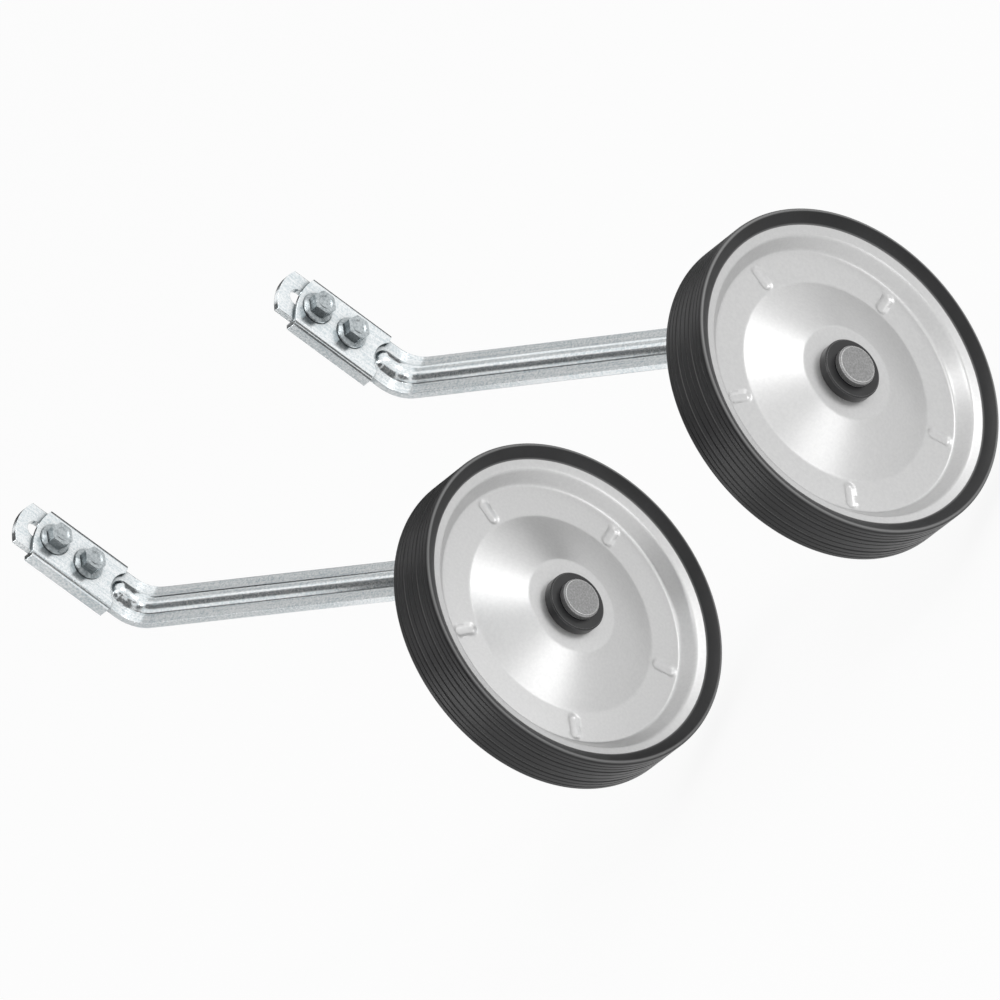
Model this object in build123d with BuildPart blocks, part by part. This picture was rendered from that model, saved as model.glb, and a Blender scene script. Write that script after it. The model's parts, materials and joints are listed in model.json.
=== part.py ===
import os
from math import atan2, degrees

from build123d import *

# A pair of training wheels for a child's bicycle. Each is a rubber-tyred pressed steel wheel on a
# beaded strip arm, which a channel plate and two flange bolts clamp to the bicycle's frame.
# X runs fore and aft, -Y points away from the bicycle and +Z is up. The origin is the middle of
# the left unit's two bolts, on the back face of its arm, which lies against the bicycle.

# Where the middle of each unit's bolts is
unit_places = {"left": (0.0, 0.0, 0.0), "right": (15.0, -165.0, 0.0)}

# Wheel: heights on it count from its middle plane towards either face
wheel_diameter = 125.0
tyre_width = 22.0
tread_edge = 1.0
sidewall_slope = 3.0
groove_place = 4.0
groove_width = 1.2
groove_depth = 0.7
tyre_height = 5.3
tyre_gap = 0.05
tongue_gap = 2.6
tongue_width = 3.0
sheet = 0.8
lip_length = 3.2
lip_drop = 0.9
wall_slope = 4.0
ring_width = 11.7
nose_radius = 18.0
nose_rise = 6.9
dimple_count = 5
dimple_depth = 0.8
dimple_margin = 0.55
dimple_width = 5.0
dimple_taper = 30.0
dimple_turn = 25.0

# Bearing
axle_diameter = 10.0
running_gap = 0.05
end_play = 0.3
bush_radius = 9.0
bush_flange_radius = 11.3
bush_flange = 3.8
bush_edge = 0.5
axle_head_radius = 7.4
axle_head = 2.8
axle_head_edge = 0.6
collar_radius = 8.0
collar_length = 2.9
washer_radius = 10.5
washer_thickness = 1.5
tail_radius = 4.0
peen_radius = 6.5
peen_height = 2.0

# Arm
strip_width = 18.5
strip = 2.5
bend_radius = 11.0
wheel_drop = 133.2
wheel_reach = 130.7
elbow_drop = 32.7
knee_rise = 39.2
top_rise = 20.2
top_bulge = 2.6
bead_width = 10.6
bead_height = 2.5
bead_root = 1.5
bead_sink = 0.1
back_groove_radius = 2.6
bead_nose_drop = 18.8
bead_stop_rise = 16.0
slot_width = 6.6
slot_top = 15.2
slot_bottom = -8.2

# Clamp plate
clamp_sheet = 1.5
clamp_depth = 6.0
clamp_gap = 0.25
clamp_top = 12.6
clamp_bulge = 2.7
clamp_bottom = -21.7
notch_radius = 9.1
notch_rise = 3.3

# Flange bolts
bolt_spacing = 15.0
bolt_diameter = 6.0
bolt_hole_gap = 0.3
bolt_length = 12.0
bolt_shank_diameter = 5.35
thread_gap = 0.15
bolt_tip = 0.8
bolt_flange_radius = 5.9
bolt_flange_edge = 0.6
bolt_flange = 1.4
hex_across_flats = 8.0
hex_height = 4.0
hex_chamfer = 0.5
dish_radius = 2.6
dish_depth = 0.4

# Sizes that follow from those above
wheel_radius = wheel_diameter / 2
tyre_half = tyre_width / 2
rim_radius = wheel_radius - tyre_height
rim_height = tyre_half - sidewall_slope
seat_radius = rim_radius + tyre_gap
lip_over = lip_length / 2
outer_crease_radius = rim_radius - lip_length - wall_slope
inner_crease_radius = outer_crease_radius - ring_width
tongue_radius = outer_crease_radius + tongue_gap
annulus_height = sheet + dimple_depth
annulus_middle = outer_crease_radius - ring_width / 2
dimple_length = ring_width - 2 * dimple_margin
nose_height = annulus_height + nose_rise
bush_face = nose_height + bush_flange
axle_radius = axle_diameter / 2
bore_radius = axle_radius + running_gap
washer_face = bush_face + end_play
collar_face = washer_face + washer_thickness
tab_face = collar_face + collar_length
strip_half = strip_width / 2
outside_bend = bend_radius + strip
tab_offset = tab_face - wheel_reach
bead_half = bead_width / 2
bead_rise = bead_height + bead_sink
bead_radius = (bead_half**2 + bead_rise**2) / (2 * bead_rise) - bead_root
bead_centre = bead_height - bead_radius
bead_foot = bead_root - bead_sink
bead_flank = degrees(atan2(bead_foot - bead_centre, bead_half))
bead_nose = -bead_nose_drop - bead_half
bead_stop = -wheel_drop + bead_stop_rise + bead_half
bolt_radius = bolt_diameter / 2
bolt_shank_radius = bolt_shank_diameter / 2
thread_start = strip + clamp_sheet + thread_gap
clamp_bend = clamp_sheet + clamp_gap
clamp_half = strip_half + clamp_bend
clamp_face = -strip - clamp_sheet
clamp_apex = clamp_top + clamp_bulge
hex_top = bolt_flange + hex_height

os.makedirs("parts", exist_ok=True)


def bead_section(middle, whole):
    """The bead's section, or its half at +X, rooted inside the strip whose front face is y = 0."""
    with BuildSketch(Plane(middle, x_dir=(1, 0, 0), z_dir=(0, 0, -1))) as section:
        with BuildLine():
            CenterArc((0, bead_centre), bead_radius, bead_flank, 90 - bead_flank)
            CenterArc((bead_half, bead_foot), bead_root, 180 + bead_flank, 90 - bead_flank)
            Polyline((bead_half, -bead_sink), (bead_half, -strip / 2), (0, -strip / 2), (0, bead_height))
        make_face()
        if whole:
            mirror(about=Plane.YZ)
    return section.sketch


for side, (x, y, z) in unit_places.items():
    axle_middle = (x, y - wheel_reach, z - wheel_drop)
    axle_line = Axis(axle_middle, (0, -1, 0))
    wheel_section = Plane(axle_middle, x_dir=(0, -1, 0), z_dir=(-1, 0, 0))
    arm_section = Plane((x, y, z), x_dir=(0, 1, 0), z_dir=(1, 0, 0))
    front = Plane((x, y, z), x_dir=(1, 0, 0), z_dir=(0, -1, 0))

    # Tyre: sloping sidewalls, a grooved tread and a tongue between the two discs
    with BuildPart() as tyre:
        with BuildSketch(wheel_section):
            with BuildLine():
                Polyline(
                    (0, tongue_radius),
                    (tongue_width / 2, tongue_radius),
                    (rim_height - 2 * sheet, seat_radius),
                    (rim_height, seat_radius),
                    (tyre_half, wheel_radius - tread_edge),
                    (tyre_half - tread_edge, wheel_radius),
                    (groove_place + groove_width / 2, wheel_radius),
                    (groove_place, wheel_radius - groove_depth),
                    (groove_place - groove_width / 2, wheel_radius),
                    (0, wheel_radius),
                    close=True,
                )
            make_face()
            mirror(about=Plane.YZ)
        revolve(axis=axle_line)
    tyre.part.label = f"{side}_tyre"
    export_step(tyre.part, f"parts/{side}_tyre.step")

    # The wheel is two like stampings back to back, each with its own bush
    for face, outward in (("outer", -1), ("inner", 1)):
        half_section = Plane(axle_middle, x_dir=(0, outward, 0), z_dir=(outward, 0, 0))
        annulus_y = y - wheel_reach + outward * annulus_height
        annulus = Plane((x, annulus_y, z - wheel_drop), x_dir=(0, 0, 1), z_dir=(0, -outward, 0))

        # Disc: rim lip, wall, flat ring with welded dimples, cone and nose
        with BuildPart() as disc:
            with BuildSketch(half_section):
                with BuildLine():
                    Polyline(
                        (rim_height + lip_drop * lip_over / lip_length, rim_radius + lip_over),
                        (rim_height - lip_drop, rim_radius - lip_length),
                        (annulus_height, outer_crease_radius),
                        (annulus_height, inner_crease_radius),
                        (nose_height, nose_radius),
                        (nose_height, bush_radius),
                    )
                    offset(amount=sheet, side=Side.RIGHT, kind=Kind.INTERSECTION)
                make_face()
                Rectangle(
                    2 * wheel_radius, rim_radius, align=(Align.CENTER, Align.MIN), mode=Mode.INTERSECT
                )
            revolve(axis=axle_line)
            with BuildSketch(annulus.offset(sheet / 2)):
                with PolarLocations(annulus_middle, dimple_count, start_angle=-outward * dimple_turn):
                    SlotOverall(dimple_length + 2 * sheet, dimple_width + 2 * sheet)
            extrude(amount=annulus_height - sheet / 2)
            with BuildSketch(annulus):
                with PolarLocations(annulus_middle, dimple_count, start_angle=-outward * dimple_turn):
                    SlotOverall(dimple_length, dimple_width)
            extrude(amount=dimple_depth, taper=dimple_taper, mode=Mode.SUBTRACT)
        disc.part.label = f"{side}_{face}_disc"
        export_step(disc.part, f"parts/{side}_{face}_disc.step")

        # Bush: a sleeve through the disc and a flange on its nose
        with BuildPart() as bush:
            with BuildSketch(half_section):
                with BuildLine():
                    Polyline(
                        (0, bore_radius),
                        (bush_face, bore_radius),
                        (bush_face, bush_flange_radius - bush_edge),
                        (bush_face - bush_edge, bush_flange_radius),
                        (nose_height, bush_flange_radius),
                        (nose_height, bush_radius),
                        (0, bush_radius),
                        close=True,
                    )
                make_face()
            revolve(axis=axle_line)
        bush.part.label = f"{side}_{face}_bush"
        export_step(bush.part, f"parts/{side}_{face}_bush.step")

    # Axle: head, plain shank, collar against the arm, and a tail riveted over behind it
    with BuildPart() as axle:
        with BuildSketch(wheel_section):
            with BuildLine():
                Polyline(
                    (washer_face + axle_head, 0),
                    (washer_face + axle_head, axle_head_radius - axle_head_edge),
                    (washer_face + axle_head - axle_head_edge, axle_head_radius),
                    (washer_face, axle_head_radius),
                    (washer_face, axle_radius),
                    (-collar_face, axle_radius),
                    (-collar_face, collar_radius),
                    (-tab_face, collar_radius),
                    (-tab_face, tail_radius),
                    (-tab_face - strip, tail_radius),
                    (-tab_face - strip, peen_radius),
                    (-tab_face - strip - peen_height, tail_radius),
                    (-tab_face - strip - peen_height, 0),
                    close=True,
                )
            make_face()
        revolve(axis=axle_line)
    axle.part.label = f"{side}_axle"
    export_step(axle.part, f"parts/{side}_axle.step")

    with BuildPart() as thrust_washer:
        with BuildSketch(wheel_section):
            with Locations((-washer_face - washer_thickness / 2, (washer_radius + axle_radius) / 2)):
                Rectangle(washer_thickness, washer_radius - axle_radius)
        revolve(axis=axle_line)
    thrust_washer.part.label = f"{side}_thrust_washer"
    export_step(thrust_washer.part, f"parts/{side}_thrust_washer.step")

    # Arm: a strip bent at elbow and knee, stiffened by a bead with a round nose at each end
    elbow = (-strip, -elbow_drop)
    knee = (tab_offset, knee_rise - wheel_drop)
    nose_middle = (x, y - strip, z + bead_nose)
    stop_middle = (x, y + tab_offset, z + bead_stop)
    with BuildPart() as arm:
        with BuildSketch(arm_section):
            with BuildLine():
                FilletPolyline(
                    (-strip, top_rise + top_bulge),
                    elbow,
                    knee,
                    (tab_offset, -wheel_drop - strip_half),
                    radius=(bend_radius, outside_bend),
                )
                offset(amount=strip, side=Side.LEFT)
            make_face()
        extrude(amount=strip_half, both=True)
        with BuildLine(arm_section) as bead_path:
            FilletPolyline(
                (-strip, bead_nose),
                elbow,
                knee,
                (tab_offset, bead_stop),
                radius=(bend_radius, outside_bend),
            )
        sweep(bead_section(nose_middle, whole=True), path=bead_path.wire())
        for bead_end, turn in ((nose_middle, (0, -1, 0)), (stop_middle, (0, 1, 0))):
            revolve(bead_section(bead_end, whole=False), axis=Axis(bead_end, turn), revolution_arc=180)
        with BuildSketch(Plane(nose_middle, x_dir=(1, 0, 0), z_dir=(0, 0, -1))):
            with Locations((0, bead_centre)):
                Circle(back_groove_radius)
        sweep(path=bead_path.wire(), mode=Mode.SUBTRACT)
        for bead_end, turn in ((nose_middle, (0, -1, 0)), (stop_middle, (0, 1, 0))):
            with BuildSketch(Plane(bead_end, x_dir=(1, 0, 0), z_dir=(0, 0, -1))):
                with Locations((0, bead_centre)):
                    Circle(back_groove_radius)
                Rectangle(strip_half, 2 * strip_half, align=(Align.MIN, Align.CENTER), mode=Mode.INTERSECT)
            revolve(axis=Axis(bead_end, turn), revolution_arc=180, mode=Mode.SUBTRACT)
        with BuildSketch(front):
            with BuildLine():
                ThreePointArc((-strip_half, top_rise), (0, top_rise + top_bulge), (strip_half, top_rise))
                Line((strip_half, top_rise), (strip_half, -wheel_drop))
                CenterArc((0, -wheel_drop), strip_half, 180, 180)
                Line((-strip_half, -wheel_drop), (-strip_half, top_rise))
            make_face()
            with Locations((0, (slot_top + slot_bottom) / 2)):
                SlotCenterToCenter(slot_top - slot_bottom, slot_width, rotation=90, mode=Mode.SUBTRACT)
            with Locations((0, -wheel_drop)):
                Circle(tail_radius, mode=Mode.SUBTRACT)
        extrude(amount=wheel_reach, both=True, mode=Mode.INTERSECT)
    arm.part.label = f"{side}_arm"
    export_step(arm.part, f"parts/{side}_arm.step")

    # Clamp plate: a channel over the strip, arched at the top and notched for the bead's nose
    with BuildPart() as clamp:
        with BuildSketch(Plane((x, y, z + clamp_bottom), x_dir=(1, 0, 0), z_dir=(0, 0, 1))):
            with BuildLine():
                FilletPolyline(
                    (-clamp_half, clamp_face + clamp_depth),
                    (-clamp_half, clamp_face),
                    (clamp_half, clamp_face),
                    (clamp_half, clamp_face + clamp_depth),
                    radius=clamp_bend,
                )
                offset(amount=clamp_sheet, side=Side.LEFT)
            make_face()
        extrude(amount=clamp_apex - clamp_bottom)
        with BuildSketch(front):
            with BuildLine():
                ThreePointArc((-clamp_half, clamp_top), (0, clamp_apex), (clamp_half, clamp_top))
                Polyline(
                    (clamp_half, clamp_top),
                    (clamp_half, clamp_bottom),
                    (-clamp_half, clamp_bottom),
                    (-clamp_half, clamp_top),
                )
            make_face()
            with Locations((0, clamp_bottom + notch_rise - notch_radius)):
                Circle(notch_radius, mode=Mode.SUBTRACT)
            with GridLocations(0, bolt_spacing, 1, 2):
                Circle(bolt_radius + bolt_hole_gap, mode=Mode.SUBTRACT)
        extrude(amount=clamp_depth, both=True, mode=Mode.INTERSECT)
    clamp.part.label = f"{side}_clamp"
    export_step(clamp.part, f"parts/{side}_clamp.step")

    # Flange bolts: their shanks screw into the bicycle's frame
    for bolt_name, bolt_z in (("upper_bolt", bolt_spacing / 2), ("lower_bolt", -bolt_spacing / 2)):
        seat = (x, y + clamp_face, z + bolt_z)
        with BuildPart() as bolt:
            with BuildSketch(Plane(seat, x_dir=(0, -1, 0), z_dir=(-1, 0, 0))):
                with BuildLine():
                    Polyline(
                        (-bolt_length, 0),
                        (-bolt_length, bolt_radius - bolt_tip),
                        (-bolt_length + bolt_tip, bolt_radius),
                        (-thread_start, bolt_radius),
                        (-thread_start, bolt_shank_radius),
                        (0, bolt_shank_radius),
                        (0, bolt_flange_radius),
                        (bolt_flange_edge, bolt_flange_radius),
                        (bolt_flange, hex_across_flats / 2),
                        (bolt_flange, 0),
                        close=True,
                    )
                make_face()
            revolve(axis=Axis(seat, (0, -1, 0)))
            with BuildSketch(Plane(seat, x_dir=(1, 0, 0), z_dir=(0, -1, 0)).offset(bolt_flange_edge)):
                RegularPolygon(hex_across_flats / 2, 6, major_radius=False)
            extrude(amount=hex_top - bolt_flange_edge)
            chamfer(bolt.faces().sort_by(Axis.Y)[0].edges(), hex_chamfer)
            with BuildSketch(Plane(seat, x_dir=(1, 0, 0), z_dir=(0, -1, 0)).offset(hex_top)):
                Circle(dish_radius)
            extrude(amount=-dish_depth, mode=Mode.SUBTRACT)
        bolt.part.label = f"{side}_{bolt_name}"
        export_step(bolt.part, f"parts/{side}_{bolt_name}.step")
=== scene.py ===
import json
import math

import bmesh
import bpy
from mathutils import Matrix, Vector


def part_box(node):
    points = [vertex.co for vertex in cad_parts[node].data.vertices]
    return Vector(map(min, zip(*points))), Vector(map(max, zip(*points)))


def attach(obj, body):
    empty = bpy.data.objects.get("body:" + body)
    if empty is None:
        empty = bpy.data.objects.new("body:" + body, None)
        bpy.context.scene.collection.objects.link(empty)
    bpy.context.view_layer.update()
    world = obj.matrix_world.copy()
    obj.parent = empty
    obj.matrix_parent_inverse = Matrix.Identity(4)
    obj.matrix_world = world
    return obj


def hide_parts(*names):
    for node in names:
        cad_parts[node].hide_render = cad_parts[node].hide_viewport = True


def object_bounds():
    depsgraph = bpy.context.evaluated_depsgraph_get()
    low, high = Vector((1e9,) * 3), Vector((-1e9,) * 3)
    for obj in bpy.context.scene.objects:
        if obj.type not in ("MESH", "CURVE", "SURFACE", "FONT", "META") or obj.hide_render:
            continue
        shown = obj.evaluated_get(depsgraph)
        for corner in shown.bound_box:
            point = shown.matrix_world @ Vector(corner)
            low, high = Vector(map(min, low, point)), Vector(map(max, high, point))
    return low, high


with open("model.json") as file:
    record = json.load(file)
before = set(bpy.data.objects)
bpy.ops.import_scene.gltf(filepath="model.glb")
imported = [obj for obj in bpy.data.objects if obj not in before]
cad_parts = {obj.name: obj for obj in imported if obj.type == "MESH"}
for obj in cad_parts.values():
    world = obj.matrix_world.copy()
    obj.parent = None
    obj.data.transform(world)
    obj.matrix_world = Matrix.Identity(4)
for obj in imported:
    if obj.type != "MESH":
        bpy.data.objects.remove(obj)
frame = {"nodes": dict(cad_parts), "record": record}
cad_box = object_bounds()

MM = 0.001
SIDES = ("left", "right")
BOLTS = ("upper_bolt", "lower_bolt")

# The camera looks from the photograph's angle, through a long lens
VIEW_AZIMUTH = -41.863
VIEW_ELEVATION = 14.432
VIEW_ROLL = 53.66
VIEW_DISTANCE = 6.0
VIEW_AIM = Vector((18.4, -141.1, -92.3)) * MM
LENS = 614.0
SENSOR_WIDTH = 36.0
CLIP_START, CLIP_END = 0.1, 100.0

# Sizes that the dressed wheels share with the solids, in millimetres
WHEEL_RADIUS = 62.5
TYRE_HALF = 11.0
TYRE_BEAD_HALF = 1.5
TYRE_BEAD_DEPTH = 4.6
RIM_RADIUS = 57.2
RIM_HEIGHT = 8.0
SEAT_RADIUS = 57.25
SHEET = 0.8
DISC_PROFILE = ((57.2, 8.0), (54.0, 7.1), (50.0, 1.6), (38.3, 1.6), (18.0, 8.5), (9.0, 8.5))
DISC_ROUNDING = 0.6
DIMPLES = 5
DIMPLE_TURN = 25.0
DIMPLE_RADIUS = 44.15
DIMPLE_LENGTH = 10.6
DIMPLE_WIDTH = 5.0
DIMPLE_DEPTH = 0.8
DIMPLE_EDGE = 1.3

# The tyre's shoulder, tread and sidewall; the sidewall's painted highlight lines are pairs of a radius
# and a share of grey
SHOULDER = 1.3
SHOULDER_TURN = (-15.0, 90.0)
SIDEWALL_HIGHLIGHTS = ((57.3, 0.7), (57.8, 0.0), (61.0, 0.0), (61.4, 0.8), (61.8, 0.8), (62.2, 0.0))
GROOVES = (-4.0, 4.0)
GROOVE_WIDTH = 1.2
GROOVE_DEPTH = 0.6
FINE_LINES = (-8.3, -6.3, -1.4, 1.4, 6.3, 8.3)
FINE_LINE_WIDTH = 0.6
FINE_LINE_DEPTH = 0.25

# The flange bolts: flange, hex head with its crown and dish, and threaded shank
BOLT_CENTRE = 0.01
BOLT_FLANGE_RADIUS = 5.9
BOLT_FLANGE_EDGE = 0.6
BOLT_FLANGE = 1.4
FLANGE_SINK = 0.1
FLANGE_BREAK = 0.3
FLANGE_DROP = 0.2
HEX_ACROSS_FLATS = 8.0
HEX_TOP = 5.4
HEX_CROWN = 4.15
CROWN_ANGLE = 30.0
CROWN_INSET = 0.02
CROWN_LEAST = 0.05
DISH_RADIUS = 2.6
DISH_DEPTH = 0.25
DISH_WALL = 0.5
DISH_LIP = 0.05
DISH_EDGE = 0.2
BOLT_RADIUS = 3.0
BOLT_SHANK_RADIUS = 2.675
BOLT_LENGTH = 12.0
BOLT_TIP = 0.8
THREAD_PITCH = 1.0
THREAD_DEPTH = 0.45
THREAD_START = 4.15

# How fine the pieces are: points round each ring, and steps across
DISC_COUNT, DISC_STEPS = 360, 100
TYRE_COUNT, TREAD_STEPS, SHOULDER_STEPS = 224, 180, 8
BOLT_COUNT, BOLT_STEPS = 72, 120
SHARP_ANGLE = 35.0
BOLT_SHARP_ANGLE = 12.0

# The floor lies below the lowest place that the wheels slide to
FLOOR_DROP = 8.0
FLOOR_SIZE = 60.0
FLOOR_GREY = 0.85
FLOOR_GLOW = 0.9
WORLD_STRENGTH = 0.8

# Lamps as name, place from the aim in metres, width and height, and power in watts
LAMPS = (
    ("key", (0.67, -1.39, 0.38), (0.55, 0.55), 3.0),
    ("top", (-0.30, -0.90, 1.15), (0.2, 0.2), 1.6),
    ("back_left", (-1.0, 1.08, 0.21), (0.1, 0.8), 3.5),
)
# Lamps that only reflections show, placed from a wheel's middle
LOW_LAMP = ((-0.019, -0.104, -0.036), (0.05, 0.05), 0.011)
FILL_LAMP = ((0.0, -0.105, -0.006), (0.13, 0.10), 0.026)
# Cards as name, place in metres, width and height, and grey
CARDS = (
    ("overhead_card", (-0.16, -0.10, 0.60), (0.45, 0.45), 0.15),
    ("right_card", (0.58, 0.02, 0.61), (0.5, 0.5), 0.55),
    ("right_back_card", (0.44, 0.36, 0.04), (0.5, 0.46), 0.03),
    ("right_floor_card", (0.50, -0.13, -0.11), (0.60, 0.16), 0.12),
    ("back_left_card", (-0.32, 0.30, -0.10), (0.5, 0.2), 0.5),
    ("rear_top_card", (0.10, 0.60, 0.60), (0.4, 0.4), 0.05),
)
# Cards in front of each clamp, placed from its middle
CLAMP_CARDS = (
    ("low_card", (-0.12, -0.125, -0.045), (0.13, 0.09), 0.12),
    ("high_card", (-0.094, -0.10, 0.055), (0.09, 0.09), 0.12),
)


def node_middle(name):
    """The middle of a CAD node's box, in metres."""
    low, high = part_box(name)
    return (low + high) / 2


def smooth_step(value):
    value = min(1.0, max(0.0, value))
    return value * value * (3.0 - 2.0 * value)


def mesh_object(name, verts, faces, material, body, node, sharp=SHARP_ANGLE):
    """A piece that rides on a body and stands for one CAD node, shaded smooth below the sharp angle."""
    mesh = bpy.data.meshes.new(name)
    mesh.from_pydata(verts, [], faces)
    bm = bmesh.new()
    bm.from_mesh(mesh)
    bmesh.ops.remove_doubles(bm, verts=bm.verts, dist=1e-7)
    bmesh.ops.recalc_face_normals(bm, faces=bm.faces)
    bm.to_mesh(mesh)
    bm.free()
    mesh.shade_smooth()
    mesh.set_sharp_from_angle(angle=math.radians(sharp))
    mesh.materials.append(material)
    obj = bpy.data.objects.new(name, mesh)
    bpy.context.scene.collection.objects.link(obj)
    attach(obj, body)
    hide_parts(node)


def grid_faces(rings, count, closed_rings=False):
    """Quads of a grid of rings with count points each, wrapped round."""
    faces = []
    last = rings if closed_rings else rings - 1
    for i in range(last):
        a, b = i * count, ((i + 1) % rings) * count
        for j in range(count):
            k = (j + 1) % count
            faces.append((a + j, a + k, b + k, b + j))
    return faces


# Materials


def new_material(name):
    material = bpy.data.materials.new(name)
    material.use_nodes = True
    tree = material.node_tree
    return material, tree, tree.nodes["Principled BSDF"]


def feed(tree, socket, value):
    """Links a socket to another socket, or sets it to a number or vector."""
    if isinstance(value, bpy.types.NodeSocket):
        tree.links.new(value, socket)
    else:
        socket.default_value = value


def noise(tree, scale, detail, vector):
    node = tree.nodes.new("ShaderNodeTexNoise")
    node.inputs["Scale"].default_value = scale
    node.inputs["Detail"].default_value = detail
    tree.links.new(vector, node.inputs["Vector"])
    return node.outputs["Fac"]


def ramp(tree, source, stops):
    node = tree.nodes.new("ShaderNodeValToRGB")
    elements = node.color_ramp.elements
    while len(elements) < len(stops):
        elements.new(0.5)
    for element, (place, colour) in zip(elements, stops):
        element.position = place
        element.color = (*colour, 1.0)
    tree.links.new(source, node.inputs["Fac"])
    return node.outputs["Color"]


def map_range(tree, source, low, high):
    node = tree.nodes.new("ShaderNodeMapRange")
    node.inputs["To Min"].default_value = low
    node.inputs["To Max"].default_value = high
    tree.links.new(source, node.inputs["Value"])
    return node.outputs["Result"]


def math_node(tree, operation, first, second):
    node = tree.nodes.new("ShaderNodeMath")
    node.operation = operation
    feed(tree, node.inputs[0], first)
    feed(tree, node.inputs[1], second)
    return node.outputs[0]


def vector_node(tree, operation, *values):
    node = tree.nodes.new("ShaderNodeVectorMath")
    node.operation = operation
    for socket, value in zip(node.inputs, values):
        feed(tree, socket, value)
    return node


def mix_colour(tree, factor, first, second):
    """The first colour where the factor is nothing, and the grey of the second where it is one."""
    node = tree.nodes.new("ShaderNodeMix")
    node.data_type = "RGBA"
    tree.links.new(factor, node.inputs["Factor"])
    tree.links.new(first, node.inputs["A"])
    node.inputs["B"].default_value = (second, second, second, 1.0)
    return node.outputs["Result"]


def rounded_normal(tree, radius):
    """The normal of edges rounded by that radius."""
    node = tree.nodes.new("ShaderNodeBevel")
    node.samples = 6
    node.inputs["Radius"].default_value = radius
    return node.outputs["Normal"]


def bump(tree, shader, height, strength, distance, edge=0.0):
    """Fine relief, on edges rounded by that radius."""
    node = tree.nodes.new("ShaderNodeBump")
    node.inputs["Strength"].default_value = strength
    node.inputs["Distance"].default_value = distance
    if edge:
        tree.links.new(rounded_normal(tree, edge), node.inputs["Normal"])
    tree.links.new(height, node.inputs["Height"])
    tree.links.new(node.outputs["Normal"], shader.inputs["Normal"])


def object_coordinates(tree, stretch=(1.0, 1.0, 1.0)):
    coordinates = tree.nodes.new("ShaderNodeTexCoord")
    mapping = tree.nodes.new("ShaderNodeMapping")
    mapping.inputs["Scale"].default_value = stretch
    tree.links.new(coordinates.outputs["Object"], mapping.inputs["Vector"])
    return mapping.outputs["Vector"]


def edge_share(tree, radius):
    """Nothing on flats and one at edges, from how far a rounded normal leans away from the true one."""
    geometry = tree.nodes.new("ShaderNodeNewGeometry")
    lean = vector_node(tree, "DOT_PRODUCT", rounded_normal(tree, radius), geometry.outputs["Normal"])
    share = tree.nodes.new("ShaderNodeMapRange")
    share.inputs["From Min"].default_value = 0.99
    share.inputs["From Max"].default_value = 0.95
    tree.links.new(lean.outputs["Value"], share.inputs["Value"])
    return share.outputs["Result"]


def painted_sidewall_highlights(tree):
    """One on the painted highlight lines at a sidewall's inner and outer edge, and nothing elsewhere."""
    coordinates = tree.nodes.new("ShaderNodeTexCoord")
    middle = vector_node(tree, "SUBTRACT", coordinates.outputs["Generated"], (0.5, 0.5, 0.5))
    flat = vector_node(tree, "MULTIPLY", middle.outputs["Vector"], (2.0, 0.0, 2.0))
    reach = vector_node(tree, "LENGTH", flat.outputs["Vector"])
    stops = [(radius / WHEEL_RADIUS, (share, share, share)) for radius, share in SIDEWALL_HIGHLIGHTS]
    return ramp(tree, reach.outputs["Value"], stops)


def rubber_material():
    material, tree, shader = new_material("rubber")
    place = object_coordinates(tree)
    stops = ((0.3, (0.013, 0.013, 0.0135)), (0.75, (0.022, 0.022, 0.023)))
    tone = ramp(tree, noise(tree, 60.0, 5.0, place), stops)
    # Painted highlight: lighter grey lines along the sidewall's inner and outer edge.
    highlighted = mix_colour(tree, painted_sidewall_highlights(tree), tone, 0.26)
    tree.links.new(highlighted, shader.inputs["Base Color"])
    gloss = map_range(tree, noise(tree, 240.0, 3.0, place), 0.30, 0.44)
    tree.links.new(gloss, shader.inputs["Roughness"])
    shader.inputs["Specular IOR Level"].default_value = 0.3
    bump(tree, shader, noise(tree, 900.0, 3.0, place), 0.15, 0.0002)
    return material


def silver_material():
    material, tree, shader = new_material("silver_paint")
    place = object_coordinates(tree)
    stops = ((0.3, (0.60, 0.60, 0.60)), (0.7, (0.64, 0.64, 0.638)))
    tone = ramp(tree, noise(tree, 900.0, 2.0, place), stops)
    tree.links.new(tone, shader.inputs["Base Color"])
    shader.inputs["Metallic"].default_value = 0.75
    gloss = map_range(tree, noise(tree, 30.0, 3.0, place), 0.33, 0.38)
    tree.links.new(gloss, shader.inputs["Roughness"])
    bump(tree, shader, noise(tree, 1800.0, 2.0, place), 0.02, 0.0001)
    return material


def zinc_material(name, dull, bright, relief, edge, gloss):
    """Bright zinc plate: fine speckle, drawn streaks along the strip, and painted shade that darkens the
    colour in crevices and where parts meet.
    """
    material, tree, shader = new_material(name)
    place = object_coordinates(tree)
    streaks = noise(tree, 260.0, 4.0, object_coordinates(tree, (5.0, 0.15, 0.15)))
    speckle = noise(tree, 1300.0, 4.0, place)
    both = math_node(
        tree, "ADD", map_range(tree, streaks, 0.0, 0.4), map_range(tree, speckle, 0.0, 0.6)
    )
    tone = ramp(tree, both, ((0.36, dull), (0.58, bright)))
    # Painted shade: ambient occlusion darkens the base colour in crevices and where parts meet, standing
    # in for the shade that falls there.
    occlusion_node = tree.nodes.new("ShaderNodeAmbientOcclusion")
    occlusion_node.samples = 8
    occlusion_node.inputs["Distance"].default_value = 0.0045
    painted_shade = ramp(tree, occlusion_node.outputs["AO"], ((0.45, (0.12, 0.135, 0.14)), (0.92, (1.0, 1.0, 1.0))))
    shaded_tone = tree.nodes.new("ShaderNodeMix")
    shaded_tone.data_type = "RGBA"
    shaded_tone.blend_type = "MULTIPLY"
    shaded_tone.inputs["Factor"].default_value = 1.0
    tree.links.new(tone, shaded_tone.inputs["A"])
    tree.links.new(painted_shade, shaded_tone.inputs["B"])
    tree.links.new(shaded_tone.outputs["Result"], shader.inputs["Base Color"])
    shader.inputs["Metallic"].default_value = 1.0
    tree.links.new(map_range(tree, speckle, *gloss), shader.inputs["Roughness"])
    bump(tree, shader, both, relief, 0.0001, edge=edge)
    return material


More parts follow.
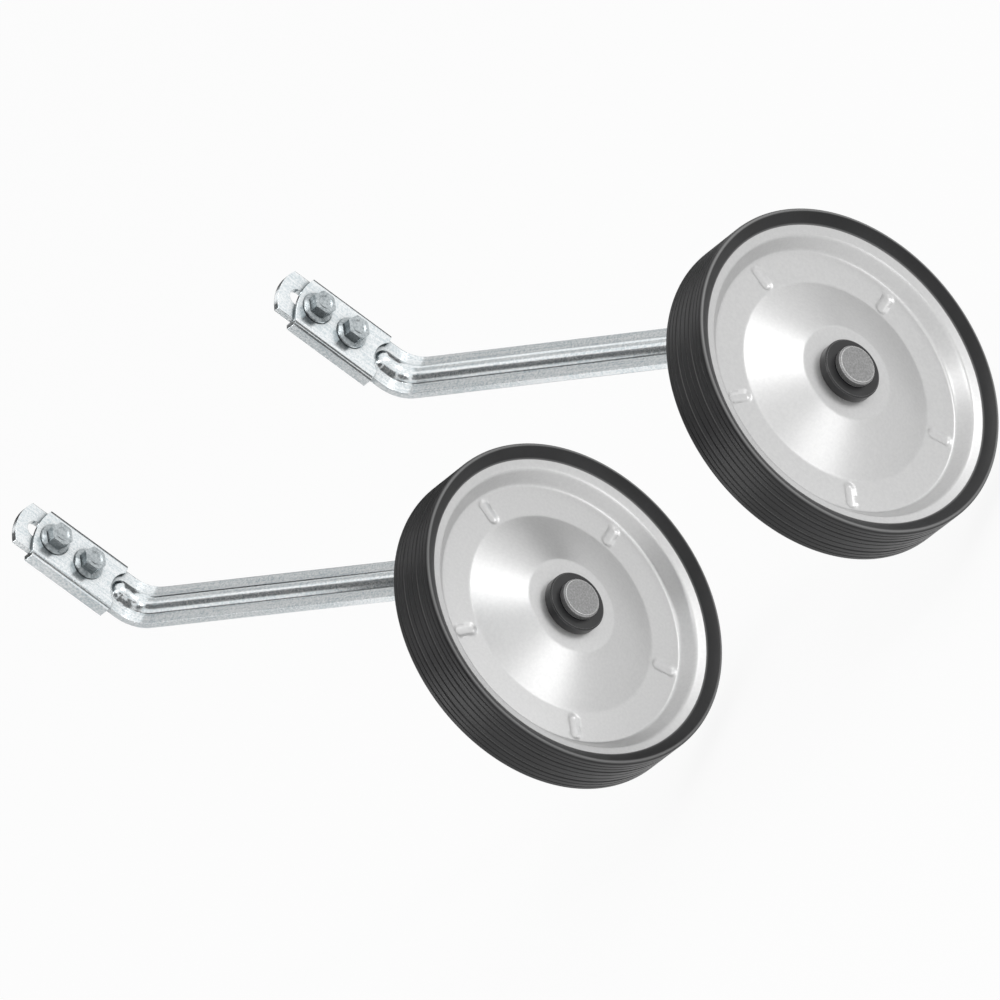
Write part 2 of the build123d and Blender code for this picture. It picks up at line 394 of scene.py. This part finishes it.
def plastic_material():
    material, tree, shader = new_material("black_plastic")
    place = object_coordinates(tree)
    stops = ((0.3, (0.014, 0.014, 0.015)), (0.7, (0.022, 0.022, 0.023)))
    tone = ramp(tree, noise(tree, 200.0, 3.0, place), stops)
    # Painted highlight: a lighter grey along the bush's edges.
    edge_highlighted = mix_colour(tree, edge_share(tree, 0.0003), tone, 0.14)
    tree.links.new(edge_highlighted, shader.inputs["Base Color"])
    gloss = map_range(tree, noise(tree, 120.0, 3.0, place), 0.26, 0.36)
    tree.links.new(gloss, shader.inputs["Roughness"])
    bump(tree, shader, noise(tree, 1500.0, 3.0, place), 0.05, 0.0001, edge=0.0004)
    return material


def axle_material():
    material, tree, shader = new_material("axle_steel")
    place = object_coordinates(tree)
    stops = ((0.3, (0.24, 0.24, 0.24)), (0.7, (0.36, 0.36, 0.36)))
    tone = ramp(tree, noise(tree, 1500.0, 3.0, place), stops)
    # Painted highlight: a bright grey along the axle's edges, its chamfer ring among them.
    edge_highlighted = mix_colour(tree, edge_share(tree, 0.0004), tone, 0.85)
    tree.links.new(edge_highlighted, shader.inputs["Base Color"])
    shader.inputs["Metallic"].default_value = 0.8
    gloss = map_range(tree, noise(tree, 500.0, 4.0, place), 0.42, 0.58)
    tree.links.new(gloss, shader.inputs["Roughness"])
    bump(tree, shader, noise(tree, 1200.0, 4.0, place), 0.2, 0.0002, edge=0.0003)
    return material


MATERIALS = {
    "rubber": rubber_material(),
    "silver_paint": silver_material(),
    "black_plastic": plastic_material(),
    "axle_steel": axle_material(),
    "zinc": zinc_material("zinc", (0.66, 0.73, 0.76), (0.93, 0.955, 0.965), 0.22, 0.0003, (0.12, 0.28)),
}
BOLT_ZINC = zinc_material(
    "bolt_zinc", (0.30, 0.335, 0.35), (0.56, 0.60, 0.615), 0.08, 0.00008, (0.24, 0.36)
)


# Wheels


def disc_height(radius):
    """Height of the straight-sided disc profile at a radius, from the wheel's middle plane."""
    for (r1, h1), (r0, h0) in zip(DISC_PROFILE, DISC_PROFILE[1:]):
        if r0 <= radius <= r1:
            return h0 + (h1 - h0) * (radius - r0) / (r1 - r0)
    return DISC_PROFILE[0][1] if radius > RIM_RADIUS else DISC_PROFILE[-1][1]


def rounded_height(radius, samples=9):
    """The profile with its creases rounded, as pressing leaves them."""
    reach = min(DISC_ROUNDING, RIM_RADIUS - radius, radius - DISC_PROFILE[-1][0])
    total = weight_sum = 0.0
    for i in range(samples):
        t = 2.0 * i / (samples - 1) - 1.0
        weight = 1.0 - t * t + 1e-3
        total += weight * disc_height(radius + t * reach)
        weight_sum += weight
    return total / weight_sum


def dimple_drop(radius, angle):
    """How far the nearest radial dimple lowers the sheet here."""
    pitch = 2.0 * math.pi / DIMPLES
    offset = (angle - math.radians(DIMPLE_TURN) + pitch / 2) % pitch - pitch / 2
    along = max(0.0, abs(radius * math.cos(offset) - DIMPLE_RADIUS) - (DIMPLE_LENGTH - DIMPLE_WIDTH) / 2)
    inside = DIMPLE_WIDTH / 2 - math.hypot(along, radius * math.sin(offset))
    return DIMPLE_DEPTH * smooth_step(inside / DIMPLE_EDGE)


def wheel_point(centre, radius, angle, height, outward):
    """Angle is from +Z towards +X, and height is from the middle plane towards outward (-1 is -Y)."""
    x = radius * math.sin(angle)
    z = radius * math.cos(angle)
    return centre + Vector((x, outward * height, z)) * MM


def dress_disc(side, face, outward):
    """A pressed disc with rounded creases and dimples, front and back sheet joined at rim and hub."""
    node = f"{side}_{face}_disc"
    centre = node_middle(f"{side}_tyre")
    inner = DISC_PROFILE[-1][0]
    radii = [RIM_RADIUS + (inner - RIM_RADIUS) * i / DISC_STEPS for i in range(DISC_STEPS + 1)]
    verts = []
    for lift, ring_radii in ((0.0, radii), (-SHEET, radii[::-1])):
        for radius in ring_radii:
            height = rounded_height(radius) + lift
            for j in range(DISC_COUNT):
                angle = 2.0 * math.pi * j / DISC_COUNT
                drop = dimple_drop(radius, angle)
                verts.append(wheel_point(centre, radius, angle, height - drop, outward))
    faces = grid_faces(2 * len(radii), DISC_COUNT, closed_rings=True)
    paint = MATERIALS["silver_paint"]
    mesh_object(f"{node}_pressed", verts, faces, paint, f"{side}_wheel", node)


def tread_radius(height):
    """Tread radius at a height across the tyre, with its grooves and fine moulded lines."""
    depth = 0.0
    for lines, width, deepest in (
        (GROOVES, GROOVE_WIDTH, GROOVE_DEPTH),
        (FINE_LINES, FINE_LINE_WIDTH, FINE_LINE_DEPTH),
    ):
        for line in lines:
            share = 1.0 - abs(height - line) / (width / 2)
            depth = max(depth, deepest * smooth_step(share))
    return WHEEL_RADIUS - depth


def tyre_profile():
    """Closed outline of the tyre's section as (height, radius)."""
    half = [
        (TYRE_BEAD_HALF, RIM_RADIUS - TYRE_BEAD_DEPTH),
        (RIM_HEIGHT - 2 * SHEET, SEAT_RADIUS),
        (RIM_HEIGHT, SEAT_RADIUS),
    ]
    span, corner_radius = TYRE_HALF - SHOULDER, WHEEL_RADIUS - SHOULDER
    first, last = SHOULDER_TURN
    for i in range(SHOULDER_STEPS + 1):
        turn = math.radians(first + (last - first) * i / SHOULDER_STEPS)
        half.append((span + SHOULDER * math.cos(turn), corner_radius + SHOULDER * math.sin(turn)))
    tread = [span - 2 * span * i / TREAD_STEPS for i in range(1, TREAD_STEPS)]
    outline = half + [(height, tread_radius(height)) for height in tread]
    return outline + [(-height, radius) for height, radius in reversed(half)]


def dress_tyre(side):
    node = f"{side}_tyre"
    centre = node_middle(node)
    outline = tyre_profile()
    verts = []
    for height, radius in outline:
        for j in range(TYRE_COUNT):
            verts.append(wheel_point(centre, radius, 2.0 * math.pi * j / TYRE_COUNT, height, -1))
    faces = grid_faces(len(outline), TYRE_COUNT, closed_rings=True)
    mesh_object(f"{node}_moulded", verts, faces, MATERIALS["rubber"], f"{side}_wheel", node)


# Bolts


def hex_radius(angle):
    sector = math.radians(60.0)
    return HEX_ACROSS_FLATS / 2 / math.cos((angle + sector / 2) % sector - sector / 2)


def thread_radius(depth, angle):
    """Radius of the bolt's shank at a depth below the head: plain, then a helical thread."""
    phase = (depth / THREAD_PITCH + angle / (2.0 * math.pi)) % 1.0
    ridge = 1.0 - abs(2.0 * phase - 1.0)
    fade = smooth_step((depth - THREAD_START) / THREAD_PITCH)
    tip = max(0.0, depth - BOLT_LENGTH + BOLT_TIP)
    threaded = BOLT_RADIUS - THREAD_DEPTH * (1.0 - ridge)
    return BOLT_SHANK_RADIUS + (threaded - BOLT_SHANK_RADIUS) * fade - tip


def bolt_rings(angles):
    """Rings of (radius, height above the seat), from the dish in the head down to the tip."""
    edge = [hex_radius(angle) for angle in angles]
    slope = math.tan(math.radians(CROWN_ANGLE))
    dish = (
        (BOLT_CENTRE, HEX_TOP - DISH_DEPTH),
        (DISH_RADIUS - DISH_WALL, HEX_TOP - DISH_DEPTH),
        (DISH_RADIUS, HEX_TOP - DISH_LIP),
        (DISH_RADIUS + DISH_EDGE, HEX_TOP),
    )
    flange = (
        (BOLT_FLANGE_RADIUS - FLANGE_BREAK, BOLT_FLANGE_EDGE + FLANGE_SINK),
        (BOLT_FLANGE_RADIUS, BOLT_FLANGE_EDGE - FLANGE_DROP),
        (BOLT_FLANGE_RADIUS, 0.0),
    )
    rings = [[point] * len(angles) for point in dish]
    rings.append([(min(r - CROWN_INSET, HEX_CROWN), HEX_TOP) for r in edge])
    rings.append([(r, HEX_TOP - slope * max(CROWN_LEAST, r - HEX_CROWN)) for r in edge])
    rings.append([(r, BOLT_FLANGE - FLANGE_SINK) for r in edge])
    rings += [[point] * len(angles) for point in flange]
    for i in range(BOLT_STEPS + 1):
        depth = BOLT_LENGTH * i / BOLT_STEPS
        rings.append([(thread_radius(depth, angle), -depth) for angle in angles])
    rings.append([(BOLT_CENTRE, -BOLT_LENGTH)] * len(angles))
    return rings


def dress_bolt(node):
    """A flange bolt: dished hex head with a turned crown, cone flange and threaded shank."""
    low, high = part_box(node)
    seat = Vector(((low.x + high.x) / 2, high.y - BOLT_LENGTH * MM, (low.z + high.z) / 2))
    angles = [2.0 * math.pi * j / BOLT_COUNT for j in range(BOLT_COUNT)]
    rings = bolt_rings(angles)
    verts = []
    for ring in rings:
        for angle, (radius, lift) in zip(angles, ring):
            offset = Vector((radius * math.cos(angle), -lift, radius * math.sin(angle)))
            verts.append(seat + offset * MM)
    faces = grid_faces(len(rings), BOLT_COUNT)
    faces.append(tuple(range(BOLT_COUNT)))
    faces.append(tuple(range(len(verts) - BOLT_COUNT, len(verts))))
    name = f"{node}_threaded"
    mesh_object(name, verts, faces, BOLT_ZINC, "fixings", node, sharp=BOLT_SHARP_ANGLE)


# Every solid takes the material of its slot
for row in frame["record"]["subparts"]:
    solid = frame["nodes"][row["node"]]
    solid.data.materials.clear()
    solid.data.materials.append(MATERIALS[row["material_slot"]])

for side in SIDES:
    dress_tyre(side)
    dress_disc(side, "outer", -1)
    dress_disc(side, "inner", 1)
    for bolt in BOLTS:
        dress_bolt(f"{side}_{bolt}")


# Floor, light and camera


def seen_rays(tree):
    """One where a camera, glossy or transmission ray looks, else nothing."""
    rays = tree.nodes.new("ShaderNodeLightPath").outputs
    first = math_node(tree, "MAXIMUM", rays["Is Camera Ray"], rays["Is Glossy Ray"])
    return math_node(tree, "MAXIMUM", first, rays["Is Transmission Ray"])


def mix_shader(tree, factor, first, second):
    node = tree.nodes.new("ShaderNodeMixShader")
    for socket, source in zip(node.inputs, (factor, first, second)):
        tree.links.new(source, socket)
    return node.outputs[0]


def glow(tree, kind, grey, strength=1.0):
    """An even grey light, from a surface or from the background."""
    node = tree.nodes.new(kind)
    node.inputs["Color"].default_value = (grey, grey, grey, 1.0)
    node.inputs["Strength"].default_value = strength
    return node.outputs[0]


def floor_material():
    """Pale floor: white to the camera and in reflections, and it keeps the shadow."""
    material = bpy.data.materials.new("pale_floor")
    material.use_nodes = True
    tree = material.node_tree
    tree.nodes.clear()
    output = tree.nodes.new("ShaderNodeOutputMaterial")
    diffuse = tree.nodes.new("ShaderNodeBsdfDiffuse")
    diffuse.inputs["Color"].default_value = (FLOOR_GREY, FLOOR_GREY, FLOOR_GREY, 1.0)
    share = math_node(tree, "MULTIPLY", seen_rays(tree), FLOOR_GLOW)
    lit = mix_shader(tree, share, diffuse.outputs[0], glow(tree, "ShaderNodeEmission", 1.0))
    geometry = tree.nodes.new("ShaderNodeNewGeometry")
    clear = tree.nodes.new("ShaderNodeBsdfTransparent")
    sided = mix_shader(tree, geometry.outputs["Backfacing"], lit, clear.outputs[0])
    tree.links.new(sided, output.inputs["Surface"])
    return material


def make_floor():
    level = cad_box[0].z - FLOOR_DROP * MM
    bpy.ops.mesh.primitive_plane_add(size=FLOOR_SIZE, location=(0, 0, level))
    floor = bpy.context.object
    floor.name = "floor"
    floor.data.materials.append(floor_material())


def make_world():
    """White to the camera and in reflections, and softer as light."""
    world = bpy.data.worlds.new("studio")
    bpy.context.scene.world = world
    world.use_nodes = True
    tree = world.node_tree
    tree.nodes.clear()
    output = tree.nodes.new("ShaderNodeOutputWorld")
    soft = glow(tree, "ShaderNodeBackground", 1.0, WORLD_STRENGTH)
    white = glow(tree, "ShaderNodeBackground", 1.0)
    mixed = mix_shader(tree, seen_rays(tree), soft, white)
    tree.links.new(mixed, output.inputs["Surface"])


def camera_back():
    """Unit vector from the aim towards the camera."""
    azimuth, elevation = math.radians(VIEW_AZIMUTH), math.radians(VIEW_ELEVATION)
    level = math.cos(elevation)
    return Vector((math.sin(azimuth) * level, -math.cos(azimuth) * level, math.sin(elevation)))


def add_lamp(name, aim, offset, size, power, diffuse=True):
    """A soft lamp at an offset from what it faces. Without diffuse, only reflections show it."""
    light = bpy.data.lights.new(name, "AREA")
    light.shape = "RECTANGLE"
    light.size, light.size_y = size
    light.energy = power
    lamp = bpy.data.objects.new(name, light)
    lamp.location = aim + Vector(offset)
    lamp.rotation_euler = (aim - lamp.location).to_track_quat("-Z", "Y").to_euler()
    lamp.visible_diffuse = diffuse
    bpy.context.scene.collection.objects.link(lamp)


def add_card(name, place, size, grey):
    """A grey or black card that only reflections see, so that bright metal has something to show."""
    bpy.ops.mesh.primitive_plane_add(size=1.0, location=place)
    card = bpy.context.object
    card.name = name
    card.rotation_euler = (VIEW_AIM - Vector(place)).to_track_quat("Z", "Y").to_euler()
    card.scale = (*size, 1.0)
    material = bpy.data.materials.new(name)
    material.use_nodes = True
    tree = material.node_tree
    tree.nodes.clear()
    output = tree.nodes.new("ShaderNodeOutputMaterial")
    tree.links.new(glow(tree, "ShaderNodeEmission", grey), output.inputs["Surface"])
    card.data.materials.append(material)
    card.visible_camera = False
    card.visible_diffuse = False
    card.visible_shadow = False


def make_lights():
    for name, offset, size, power in LAMPS:
        add_lamp(name, VIEW_AIM, offset, size, power)
    for name, place, size, grey in CARDS:
        add_card(name, place, size, grey)
    for side in SIDES:
        clamp = node_middle(f"{side}_clamp")
        for name, offset, size, grey in CLAMP_CARDS:
            add_card(f"{side}_{name}", clamp + Vector(offset), size, grey)
        add_lamp(f"{side}_low", node_middle(f"{side}_tyre"), *LOW_LAMP, diffuse=False)
    add_lamp("fill", node_middle("left_tyre"), *FILL_LAMP, diffuse=False)


def make_camera():
    back = camera_back()
    data = bpy.data.cameras.new("camera")
    data.lens = LENS
    data.sensor_width = SENSOR_WIDTH
    data.clip_start, data.clip_end = CLIP_START, CLIP_END
    camera = bpy.data.objects.new("camera", data)
    turn = (-back).to_track_quat("-Z", "Y").to_matrix().to_4x4()
    roll = Matrix.Rotation(math.radians(-VIEW_ROLL), 4, "Z")
    camera.matrix_world = Matrix.Translation(VIEW_AIM + back * VIEW_DISTANCE) @ turn @ roll
    bpy.context.scene.collection.objects.link(camera)
    bpy.context.scene.camera = camera


make_floor()
make_world()
make_lights()
make_camera()
bpy.context.scene.view_settings.view_transform = "Standard"
